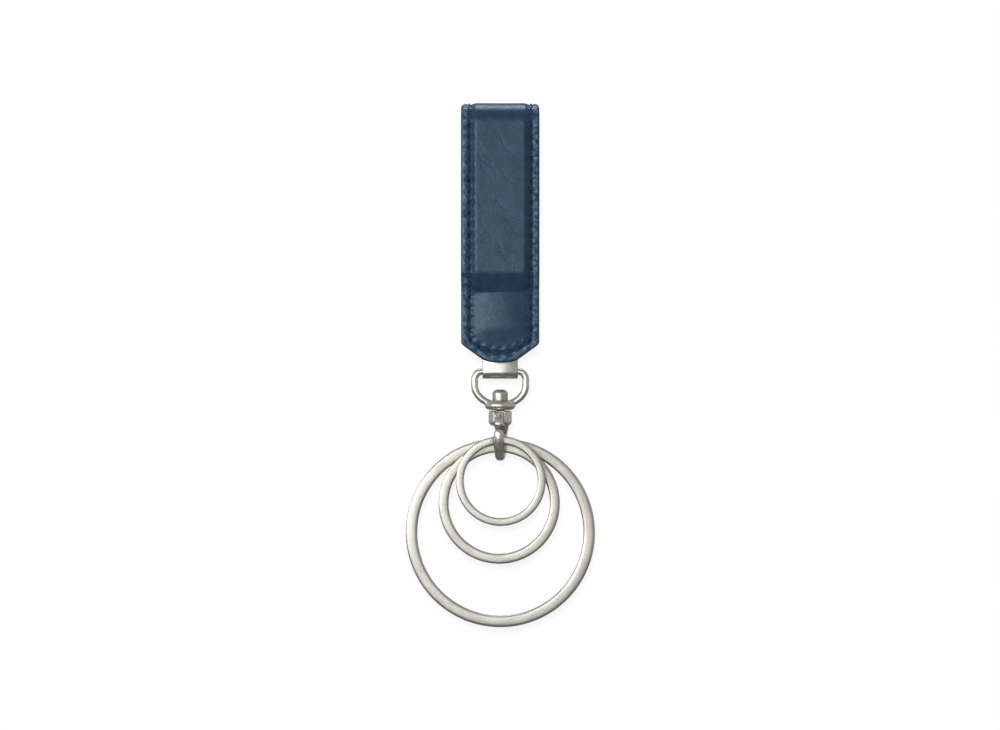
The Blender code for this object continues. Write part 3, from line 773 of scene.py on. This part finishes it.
def make_d_ring(material):
    """The bar, the bow and the bored boss, which are one casting."""
    half_width, corner, bar_end = D_HALF_WIDTH, D_CORNER, D_BAR_END
    boss_top, boss_bottom = BAR_Z - 7.7, BAR_Z - 10.1
    waist, foot = BAR_Z - 3.6, (boss_top + boss_bottom) / 2 + 0.15
    half = [(x, BAR_Z) for x in np.linspace(0, bar_end, 9)]
    for angle in np.radians(np.linspace(80, 0, 9)):
        x = bar_end + (half_width - bar_end) * math.cos(angle)
        half.append((x, BAR_Z - corner + corner * math.sin(angle)))
    for angle in np.radians(np.linspace(0, -74, 22)):
        half.append((half_width * math.cos(angle), waist + (waist - foot) * math.sin(angle)))
    points = [(-x, BAR_Y, z) for x, z in reversed(half[1:])] + [(x, BAR_Y, z) for x, z in half]
    wire_part = loft(tube_sections(points, [D_WIRE] * len(points), (0, 1, 0), 28))
    boss_points, boss_faces = turned(barrel(BOSS_RADIUS, boss_top, boss_bottom, BOSS_BELLY), 72)
    above, below = boss_top + 2, boss_bottom - 2
    bore_points, bore_faces = turned([(0, above), (BOSS_BORE, above), (BOSS_BORE, below), (0, below)])
    shift = (0, BAR_Y, 0)
    obj = cast(
        "d_ring_body",
        [wire_part, (boss_points + shift, boss_faces)],
        [(bore_points + shift, bore_faces)],
        0.11,
        8,
        material,
    )
    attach(obj, "d_ring")
    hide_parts("d_ring")


def turn_to_hook(obj):
    """Puts a piece modelled about the hook's own axis in its place."""
    obj.data.transform(Matrix.Translation((0, BAR_Y * MM, 0)) @ Matrix.Rotation(HOOK_YAW, 4, "Z"))


def finish_hook_piece(obj, body, *nodes):
    turn_to_hook(obj)
    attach(obj, body)
    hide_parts(*nodes)


def make_swivel_pin(material):
    low, high = box_mm("swivel_pin")
    top, head, under = high[2], high[0], BAR_Z - 7.65
    corners = [(0, top), (head * 0.62, top), (head, top - 0.75), (head, under), (PIN_SHANK, under)]
    corners += [(PIN_SHANK, PIN_STEP), (PIN_FOOT, PIN_STEP), (PIN_FOOT, low[2]), (0, low[2])]
    profile = rounded(corners[:4], 0.7, 8)[:-1] + rounded(corners[2:], 0.14, 4)[1:]
    points, faces = turned(profile, 64)
    obj = add_piece("swivel_pin_turned", points, faces, material, sharp=40)
    face_outward(obj)
    store(obj, "grain", np.stack([points[:, 2], np.zeros(len(points)), points[:, 0] * 0.1], axis=1))
    finish_hook_piece(obj, "snap_hook", "swivel_pin")


LOOP_Y, LOOP_Z, LOOP_HALF_WIDTH, LOOP_DROP = 0.2, -63.7, 5.6, 5.85
LOOP_WIRE, LOOP_FLATNESS = 1.25, 0.76
NOSE_TIP = -62.1
HEAD_TOP, HEAD_SHOULDER, HEAD_BOTTOM = -57.4, -60.5, -61.3
HEAD_RADIUS, HEAD_DEPTH = 3.05, 3.7
SPINE_EXTRA = 0.2
GATE_PIN = (-2.6, -58.75)
GATE_PIN_RADIUS, GATE_PIN_HALF = 0.36, 1.75
GATE_HUB, GATE_HALF = 1.1, 1.15


def hook_wire():
    """The spine, the round loop and the nose as rows of (0, y, z, radius)."""
    rows = [(0.6, -59.5, 2.0), (2.3, -59.65, 2.25), (3.8, -60.3, 2.25)]
    rows += [(5.0, -61.5, 1.95), (5.6, -62.6, 1.65)]
    for angle in np.linspace(0, -math.pi, 25):
        y, z = LOOP_Y + LOOP_HALF_WIDTH * math.cos(angle), LOOP_Z + LOOP_DROP * math.sin(angle)
        rows.append((y, z, LOOP_WIRE + SPINE_EXTRA * max(0, math.cos(angle))))
    front = LOOP_Y - LOOP_HALF_WIDTH
    rise = NOSE_TIP - LOOP_Z
    for share, scale in ((0.45, 0.98), (0.72, 0.86), (0.9, 0.62), (1.0, 0.3)):
        rows.append((front + 0.1 * share, LOOP_Z + rise * share, LOOP_WIRE * scale))
    return through([(0, y, z, radius) for y, z, radius in rows], 0.3)


def make_hook(material):
    rows = hook_wire()
    wire = loft(tube_sections(rows[:, :3], rows[:, 3], (1, 0, 0), 28, LOOP_FLATNESS))
    corners = [(0, HEAD_TOP), (HEAD_RADIUS, HEAD_TOP), (HEAD_RADIUS, HEAD_SHOULDER - 0.1)]
    corners += [(HEAD_RADIUS - 0.7, HEAD_BOTTOM), (0, HEAD_BOTTOM)]
    head_points, head_faces = turned(rounded(corners, 0.5, 6), 72)
    head = (head_points * (1, HEAD_DEPTH / HEAD_RADIUS, 1), head_faces)
    slot_points, slot_faces = block((-1.25, -6.0, NOSE_TIP + 0.05), (1.25, -1.2, HEAD_TOP + 1))
    bore = turned([(0, HEAD_TOP + 1), (0.9, HEAD_TOP + 1), (0.9, -59.05), (0, -59.05)], 40)
    cross = rod_x(GATE_PIN_RADIUS + 0.05, GATE_PIN_HALF + 0.05, *GATE_PIN)
    obj = cast("hook_cast", [wire, head], [(slot_points, slot_faces), bore, cross], 0.11, 7, material)
    finish_hook_piece(obj, "snap_hook", "hook_body")


def make_gate(material):
    """The lever: a hub on the cross pin and a curved arm whose tip meets the nose."""
    middle = [(-2.9, -59.0, 0.95), (-3.6, -59.45, 0.95), (-4.25, -60.0, 0.88), (-4.7, -60.55, 0.76),
              (-4.95, -61.0, 0.58), (-5.05, -61.3, 0.3)]
    rows = through([(0, y, z, half) for y, z, half in middle], 0.12)
    widths = 1 - 0.45 * ease(-60.7, -61.3, rows[:, 2]) ** 2
    ahead = np.gradient(rows[:, :3], axis=0)
    ahead /= np.linalg.norm(ahead, axis=1)[:, None]
    side = np.cross((1, 0, 0), ahead)
    around = np.linspace(0, 2 * math.pi, 28, endpoint=False)
    outline = [(GATE_HALF * math.cos(a), math.sin(a)) for a in around]
    sections = [
        [row[:3] + (across * width, 0, 0) + out * row[3] * offset for across, offset in outline]
        for row, width, out in zip(rows, widths, side)
    ]
    hub = rod_x(GATE_HUB, GATE_HALF - 0.02, *GATE_PIN)
    bore = rod_x(GATE_PIN_RADIUS + 0.05, 3.0, *GATE_PIN)
    obj = cast("gate_lever", [loft(sections), hub], [bore], 0.07, 8, material)
    finish_hook_piece(obj, "gate", "gate")


def make_gate_pin(material):
    half, radius = GATE_PIN_HALF, GATE_PIN_RADIUS
    profile = rounded([(0, -half), (radius, -half), (radius, half), (0, half)], 0.12, 4)
    points, faces = turned(profile, 32)
    obj = add_piece("gate_pin_turned", points[:, [2, 0, 1]] + (0, *GATE_PIN), faces, material)
    face_outward(obj)
    store(obj, "grain", np.stack([points[:, 2], points[:, 0], points[:, 1]], axis=1))
    finish_hook_piece(obj, "snap_hook", "gate_pin")


def make_gate_spring(material):
    """The leaf spring in the hook's slot, left in its rest shape; its free end does not follow the gate."""
    back = -1.36
    middle = [(0, back, -57.95), (0, back, -58.9), (0, back - 0.02, -59.8), (0, back - 0.5, -60.5)]
    rows = through(middle + [(0, back - 1.15, -60.95)], 0.12)
    ahead = np.gradient(rows, axis=0)
    ahead /= np.linalg.norm(ahead, axis=1)[:, None]
    side = np.cross((1, 0, 0), ahead)
    outline = [(-0.8, 0.05), (-0.77, 0.08), (0.77, 0.08), (0.8, 0.05)]
    outline += [(-across, -offset) for across, offset in outline]
    sections = [
        [rows[i] + (across, 0, 0) + side[i] * offset for across, offset in outline] for i in range(len(rows))
    ]
    points, faces = loft(sections)
    obj = add_piece("gate_leaf_spring", points, faces, material)
    face_outward(obj)
    store(obj, "grain", points[:, [0, 2, 1]] * (1, 0.1, 1))
    turn_to_hook(obj)
    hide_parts("gate_spring")
    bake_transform(obj)


# ---------------------------------------------------------------- split rings


def ring_outline(band, layer):
    """The flat wire's section, as (across, through) from its middle: a crowned band with round edges."""
    rows = []
    for a in np.linspace(0, 2 * math.pi, 28, endpoint=False):
        across = math.copysign(abs(math.cos(a)) ** 0.55, math.cos(a)) * band / 2
        deep = math.copysign(abs(math.sin(a)) ** 0.75, math.sin(a)) * layer / 2
        rows.append((across, deep))
    return rows


RINGS = {
    "split_ring_small": ("ring_small", 2.05, 3.0),
    "split_ring_medium": ("ring_medium", 2.6, 7.5),
    "split_ring_large": ("ring_large", 3.0, 5.0),
}
TURN_GAP = 0.06
RING_TURN = 690
JOG_LENGTH = 3.2


def make_ring(node, material):
    """A flat wire wound almost twice round, which steps to the back layer beside its front end."""
    body, band, start = RINGS[node]
    low, high = box_mm(node)
    centre = (low + high) / 2
    outer = (high[0] - low[0]) / 2
    layer = (high[1] - low[1] - TURN_GAP) / 2
    outline = ring_outline(band, layer)
    middle = outer - band / 2
    jog_angle = math.degrees(JOG_LENGTH / middle)
    steps = RING_TURN // 2
    sections, grain = [], []
    for i in range(-3, steps + 4):
        share = min(max(i / steps, 0), 1)
        degrees = RING_TURN * share
        beyond = max(-i, i - steps, 0) / 3
        shrink = 1 - 0.3 * beyond**2
        cap = math.copysign(0.14 * math.sin(beyond * math.pi / 2), i) if beyond else 0
        jog = float(ease(360 - jog_angle, 360, degrees))
        angle = math.radians(90 - start - degrees) - cap / middle
        y = low[1] + layer / 2 + (layer + TURN_GAP) * jog
        for across, deep in outline:
            radius = middle + across * (1 - (1 - shrink) * 0.35)
            x, z = centre[0] + radius * math.cos(angle), centre[2] + radius * math.sin(angle)
            sections.append((x, y + deep * shrink, z))
            grain.append((radius, angle * middle * 0.05, y + deep))
    sections = np.array(sections).reshape(-1, len(outline), 3)
    points, faces = loft(sections)
    obj = add_piece(node + "_wound", points, faces, material, sharp=60)
    face_outward(obj)
    store(obj, "grain", grain)
    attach(obj, body)
    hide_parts(node)


# ---------------------------------------------------------------- materials


class Graph:
    """A material's node graph. A node's inputs are given by name, as values or as another node's output."""

    def __init__(self, name):
        self.material = bpy.data.materials.new(name)
        self.material.use_nodes = True
        self.tree = self.material.node_tree
        self.shader = self.tree.nodes["Principled BSDF"]

    def feed(self, socket, value):
        if isinstance(value, bpy.types.NodeSocket):
            self.tree.links.new(value, socket)
        else:
            socket.default_value = value

    def node(self, kind, settings=None, **inputs):
        made = self.tree.nodes.new("ShaderNode" + kind)
        for key, value in (settings or {}).items():
            setattr(made, key, value)
        for key, value in inputs.items():
            index = int(key[1:]) if key[0] == "i" and key[1:].isdigit() else key.replace("_", " ")
            self.feed(made.inputs[index], value)
        return made

    def attribute(self, name, scale=(1, 1, 1)):
        source = self.node("Attribute", {"attribute_name": name})
        return self.node("Mapping", Vector=source.outputs["Vector"], Scale=scale).outputs["Vector"]

    def position(self, scale):
        source = self.node("TexCoord")
        return self.node("Mapping", Vector=source.outputs["Object"], Scale=(scale,) * 3).outputs["Vector"]

    def noise(self, vector, scale, detail=3.0, roughness=0.5):
        made = self.node("TexNoise", Vector=vector, Scale=scale, Detail=detail, Roughness=roughness)
        return made.outputs["Fac"]

    def ramp(self, value, *stops):
        """Stops are (place, colour or grey)."""
        made = self.node("ValToRGB", Fac=value)
        elements = made.color_ramp.elements
        while len(elements) < len(stops):
            elements.new(0.5)
        for element, (place_at, colour) in zip(elements, stops):
            element.position = place_at
            element.color = (*colour, 1) if isinstance(colour, tuple) else (colour, colour, colour, 1)
        return made.outputs["Color"]

    def mix(self, factor, one, two, blend="MIX"):
        made = self.node("Mix", {"data_type": "RGBA", "blend_type": blend})
        for socket, value in ((made.inputs[0], factor), (made.inputs[6], one), (made.inputs[7], two)):
            if isinstance(value, tuple):
                value = (*value, 1)
            self.feed(socket, value)
        return made.outputs[2]

    def maths(self, operation, one, two):
        return self.node("Math", {"operation": operation}, i0=one, i1=two).outputs[0]

    def bump(self, height, strength, distance, normal=None):
        inputs = {"Height": height, "Strength": strength, "Distance": distance}
        if normal is not None:
            inputs["Normal"] = normal
        return self.node("Bump", **inputs).outputs["Normal"]

    def set(self, **inputs):
        for key, value in inputs.items():
            if isinstance(value, tuple) and len(value) == 3:
                value = (*value, 1)
            self.feed(self.shader.inputs[key.replace("_", " ")], value)
        return self.material


def leather_material(name, dark, light, margin_highlight, gloss):
    """Dyed leather: mottled colour, painted highlight patches along the margins, pores, fine wrinkles,
    painted edges and a thin glaze.
    """
    g = Graph(name)
    across = g.attribute("unrolled")
    mottle = g.noise(across, 0.22, 4, 0.55)
    colour = g.ramp(mottle, (0.32, dark), (0.68, light))
    specks = g.ramp(g.noise(across, 2.6, 3, 0.6), (0.42, 0.0), (0.75, 1.0))
    colour = g.mix(g.maths("MULTIPLY", specks, 0.35), colour, light)
    edge = g.node("SeparateXYZ", Vector=across).outputs["Z"]
    from_edge = g.ramp(edge, (0.3, 0.0), (0.6, 1.0))
    to_panel = g.ramp(g.maths("MULTIPLY", edge, 0.5), (0.7, 1.0), (0.95, 0.0))
    margin = g.maths("MULTIPLY", from_edge, to_panel)
    # Lighter patches along the stitched margins: painted highlight, standing in for the glints off the
    # puckers between stitches.
    patches = g.ramp(g.noise(across, 0.75, 3, 0.6), (0.42, 0.0), (0.6, 1.0))
    colour = g.mix(g.maths("MULTIPLY", g.maths("MULTIPLY", margin, patches), 0.8), colour, margin_highlight)
    painted = g.ramp(edge, (0.12, 1.0), (0.34, 0.0))
    colour = g.mix(painted, colour, (0.006, 0.011, 0.026))
    pores = g.node("TexVoronoi", {"feature": "SMOOTH_F1"}, Vector=across, Scale=2.4, Smoothness=0.4)
    stretched = g.attribute("unrolled", (0.5, 0.32, 0))
    warp = g.node("TexNoise", Vector=stretched, Scale=1.6, Detail=3.0).outputs["Color"]
    warped = g.mix(0.55, stretched, warp, "ADD")
    folds = g.node("TexVoronoi", {"feature": "DISTANCE_TO_EDGE"}, Vector=warped, Scale=1.3)
    furrow = g.ramp(folds.outputs["Distance"], (0.0, 0.0), (0.07, 1.0))
    normal = g.bump(pores.outputs["Distance"], 0.25, 0.00012)
    normal = g.bump(furrow, 0.1, 0.0001, normal)
    normal = g.bump(g.noise(across, 7.0, 2), 0.2, 0.00004, normal)
    rough = g.ramp(g.noise(across, 0.5, 4, 0.6), (0.3, gloss - 0.06), (0.7, gloss + 0.08))
    return g.set(
        Base_Color=colour,
        Roughness=g.mix(painted, rough, (0.5, 0.5, 0.5)),
        Specular_Tint=(0.64, 0.86, 1.0),
        Coat_Weight=0.05,
        Coat_Roughness=0.2,
        Normal=normal,
    )


def thread_material():
    """Twisted polyester thread, with painted shade in the grooves where the strands part."""
    g = Graph("navy_thread_twisted")
    twist = g.node("SeparateXYZ", Vector=g.attribute("twist"))
    lengthwise = g.maths("MULTIPLY", twist.outputs["X"], 9.0)
    turning = g.maths("ADD", lengthwise, g.maths("MULTIPLY", twist.outputs["Y"], 3.0))
    strand = g.maths("ADD", g.maths("MULTIPLY", g.maths("SINE", turning, 0), 0.5), 0.5)
    fuzz = g.noise(g.attribute("twist"), 3.0, 2)
    # Darker colour where the strand bump is lowest: painted shade in the grooves.
    colour = g.mix(strand, (0.004, 0.012, 0.034), (0.012, 0.036, 0.09))
    colour = g.mix(g.maths("MULTIPLY", fuzz, 0.3), colour, (0.014, 0.04, 0.1))
    return g.set(
        Base_Color=colour,
        Roughness=0.6,
        Specular_Tint=(0.64, 0.86, 1.0),
        Sheen_Weight=0.1,
        Sheen_Tint=(0.4, 0.65, 1.0),
        Normal=g.bump(strand, 0.6, 0.00005),
    )


def metal_material(name, colour, gloss, brushed):
    """Satin plating: brushed along the grain or finely blasted, faintly tarnished, with worn edges."""
    g = Graph(name)
    if brushed:
        lines = g.noise(g.attribute("grain", (9, 9, 9)), 1.0, 5, 0.65)
        broad = g.noise(g.attribute("grain", (0.5, 4, 0.5)), 1.0, 2)
    else:
        lines = g.noise(g.position(1 / MM), 5.0, 4, 0.6)
        broad = g.noise(g.position(1 / MM), 0.45, 3)
    dull = tuple(channel * 0.82 for channel in colour)
    tint = g.mix(g.ramp(broad, (0.35, 0.0), (0.7, 1.0)), dull, colour)
    worn = g.ramp(g.node("NewGeometry").outputs["Pointiness"], (0.5, 0.0), (0.56, 1.0))
    tint = g.mix(g.maths("MULTIPLY", worn, 0.3), tint, tuple(min(1, channel * 1.15) for channel in colour))
    rough = g.ramp(lines, (0.3, gloss - 0.05), (0.7, gloss + 0.07))
    return g.set(
        Base_Color=tint,
        Metallic=1.0,
        Roughness=rough,
        Normal=g.bump(lines, 0.12 if brushed else 0.1, 0.00003),
    )


# ---------------------------------------------------------------- stage

STAGE_REACH = 900
WALL_Y = 80
FLOOR_Z = -165


def backdrop_material():
    """Pale paper that glows evenly from its front and isn't there from behind."""
    g = Graph("backdrop_paper")
    tree = g.tree
    grain = g.noise(g.position(1.0), 40.0, 3)
    g.set(Roughness=1.0, Emission_Color=(1, 1, 1), Emission_Strength=0.84)
    g.set(Specular_IOR_Level=0.0)
    g.set(Base_Color=g.ramp(grain, (0.3, 0.048), (0.7, 0.052)))
    see_through = g.node("BsdfTransparent")
    swap = g.node("MixShader", Fac=g.node("NewGeometry").outputs["Backfacing"])
    tree.links.new(g.shader.outputs[0], swap.inputs[1])
    tree.links.new(see_through.outputs[0], swap.inputs[2])
    tree.links.new(swap.outputs[0], tree.nodes["Material Output"].inputs["Surface"])
    return g.material


def make_stage():
    """A pale wall well behind the swinging parts and a pale floor below them."""
    material = backdrop_material()
    reach, back, low = STAGE_REACH, WALL_Y, FLOOR_Z
    wall_corners = [(-reach, back, low), (reach, back, low), (reach, back, reach), (-reach, back, reach)]
    floor_corners = [(-reach, -reach, low), (reach, -reach, low), (reach, back, low), (-reach, back, low)]
    wall = add_piece("wall", wall_corners, [(0, 1, 2, 3)], material)
    floor = add_piece("floor", floor_corners, [(0, 1, 2, 3)], material)
    for paper in (wall, floor):
        paper.visible_glossy = False
    return wall, floor


def add_light(name, size, place_at, aim, radiance, parent=None):
    """A soft rectangular light. Its radiance doesn't depend on its size."""
    light = bpy.data.lights.new(name, "AREA")
    light.shape = "RECTANGLE"
    light.size, light.size_y = size[0] * MM, size[1] * MM
    light.energy = radiance * math.pi * light.size * light.size_y
    obj = bpy.data.objects.new(name, light)
    bpy.context.scene.collection.objects.link(obj)
    where, to = Vector(place_at) * MM, Vector(aim) * MM
    obj.rotation_mode = "QUATERNION"
    obj.rotation_quaternion = (to - where).to_track_quat("-Z", "Y")
    obj.location = where
    if parent is not None:
        obj.parent = parent
    return obj


CAMERA_DISTANCE = 723


def make_camera():
    """A long lens straight in front of the object's middle."""
    camera = bpy.data.cameras.new("camera")
    camera.lens = 100
    camera.sensor_width = 36
    camera.clip_end = 10
    obj = bpy.data.objects.new("camera", camera)
    bpy.context.scene.collection.objects.link(obj)
    middle = (CAD_BOX[0] + CAD_BOX[1]) / 2
    obj.location = (middle.x - 0.1 * MM, -CAMERA_DISTANCE * MM, middle.z + 0.3 * MM)
    obj.rotation_euler = (math.pi / 2, 0, 0)
    bpy.context.scene.camera = obj
    return obj


def make_lights(camera, wall, floor):
    """A broad front light, a key from the left and a strip overhead. A small light near the lens draws only
    the object's soft shadow on the backdrop."""
    object_at = (0, 0, -CAMERA_DISTANCE)
    add_light("front_box", (420, 520), (-150, 20, 40), object_at, 1.55, camera)
    add_light("key_left", (200, 520), (-330, 60, -330), object_at, 4.0, camera)
    top = add_light("top_strip", (260, 150), (0, 70, 330), (0, 0, 20), 6.5)
    top.data.color = (0.74, 0.89, 1.0)
    shadow = add_light("shadow_light", (26, 26), (-5, 16, 0), object_at, 1.0, camera)
    shadow.data.energy = 8.8 * math.pi * 0.8**2
    receivers = bpy.data.collections.new("backdrop_only")
    receivers.objects.link(wall)
    receivers.objects.link(floor)
    shadow.light_linking.receiver_collection = receivers


def make_world():
    """White where the camera looks past the stage, and a dim soft room for everything else."""
    world = bpy.data.worlds.new("studio")
    bpy.context.scene.world = world
    world.use_nodes = True
    tree = world.node_tree
    room = tree.nodes["Background"]
    white = tree.nodes.new("ShaderNodeBackground")
    white.inputs["Strength"].default_value = 1.0
    white.inputs["Color"].default_value = (1, 1, 1, 1)
    coordinates = tree.nodes.new("ShaderNodeTexCoord")
    split = tree.nodes.new("ShaderNodeSeparateXYZ")
    height = tree.nodes.new("ShaderNodeMapRange")
    height.inputs["From Min"].default_value = -1
    ramp = tree.nodes.new("ShaderNodeValToRGB")
    levels = ((0.2, 0.17), (0.36, 0.24), (0.5, 0.5), (0.8, 0.42))
    while len(ramp.color_ramp.elements) < len(levels):
        ramp.color_ramp.elements.new(0.5)
    for element, (place_at, level) in zip(ramp.color_ramp.elements, levels):
        element.position = place_at
        element.color = (level, level, level, 1)
    tree.links.new(coordinates.outputs["Generated"], split.inputs[0])
    tree.links.new(split.outputs["Z"], height.inputs["Value"])
    tree.links.new(height.outputs["Result"], ramp.inputs[0])
    tree.links.new(ramp.outputs[0], room.inputs["Color"])
    path = tree.nodes.new("ShaderNodeLightPath")
    swap = tree.nodes.new("ShaderNodeMixShader")
    tree.links.new(path.outputs["Is Camera Ray"], swap.inputs[0])
    tree.links.new(room.outputs[0], swap.inputs[1])
    tree.links.new(white.outputs[0], swap.inputs[2])
    tree.links.new(swap.outputs[0], tree.nodes["World Output"].inputs["Surface"])


# ---------------------------------------------------------------- whole scene


def main():
    # The third colour is the pale blue painted into the leather margins as highlight.
    dark, light, margin_highlight = (0.007, 0.019, 0.046), (0.014, 0.036, 0.076), (0.07, 0.12, 0.185)
    leather = leather_material("navy_leather_glazed", dark, light, margin_highlight, 0.34)
    lining = leather_material("navy_lining_smooth", dark, light, light, 0.5)
    thread = thread_material()
    nickel = metal_material("nickel_blasted", (0.77, 0.75, 0.68), 0.3, False)
    flat_nickel = metal_material("nickel_brushed", (0.57, 0.555, 0.5), 0.34, True)
    steel = metal_material("spring_steel_satin", (0.64, 0.62, 0.56), 0.3, True)
    make_leather(leather)
    make_lining(lining)
    cords = {"front": "thread_front", "fold": "thread_back"}
    make_stitches("stitches_outer", thread, outer_thread_depth, 1, cords)
    make_stitches("stitches_inner", thread, inner_thread_depth, -1, None)
    make_plate(steel)
    make_d_ring(nickel)
    make_swivel_pin(flat_nickel)
    make_hook(nickel)
    make_gate(nickel)
    make_gate_pin(flat_nickel)
    make_gate_spring(steel)
    for node in RINGS:
        make_ring(node, flat_nickel)
    hidden_plate = frame["nodes"]["spring_plate_back"].data
    hidden_plate.materials.clear()
    hidden_plate.materials.append(steel)
    wall, floor = make_stage()
    camera = make_camera()
    make_lights(camera, wall, floor)
    make_world()
    bpy.context.scene.view_settings.view_transform = "Standard"


main()
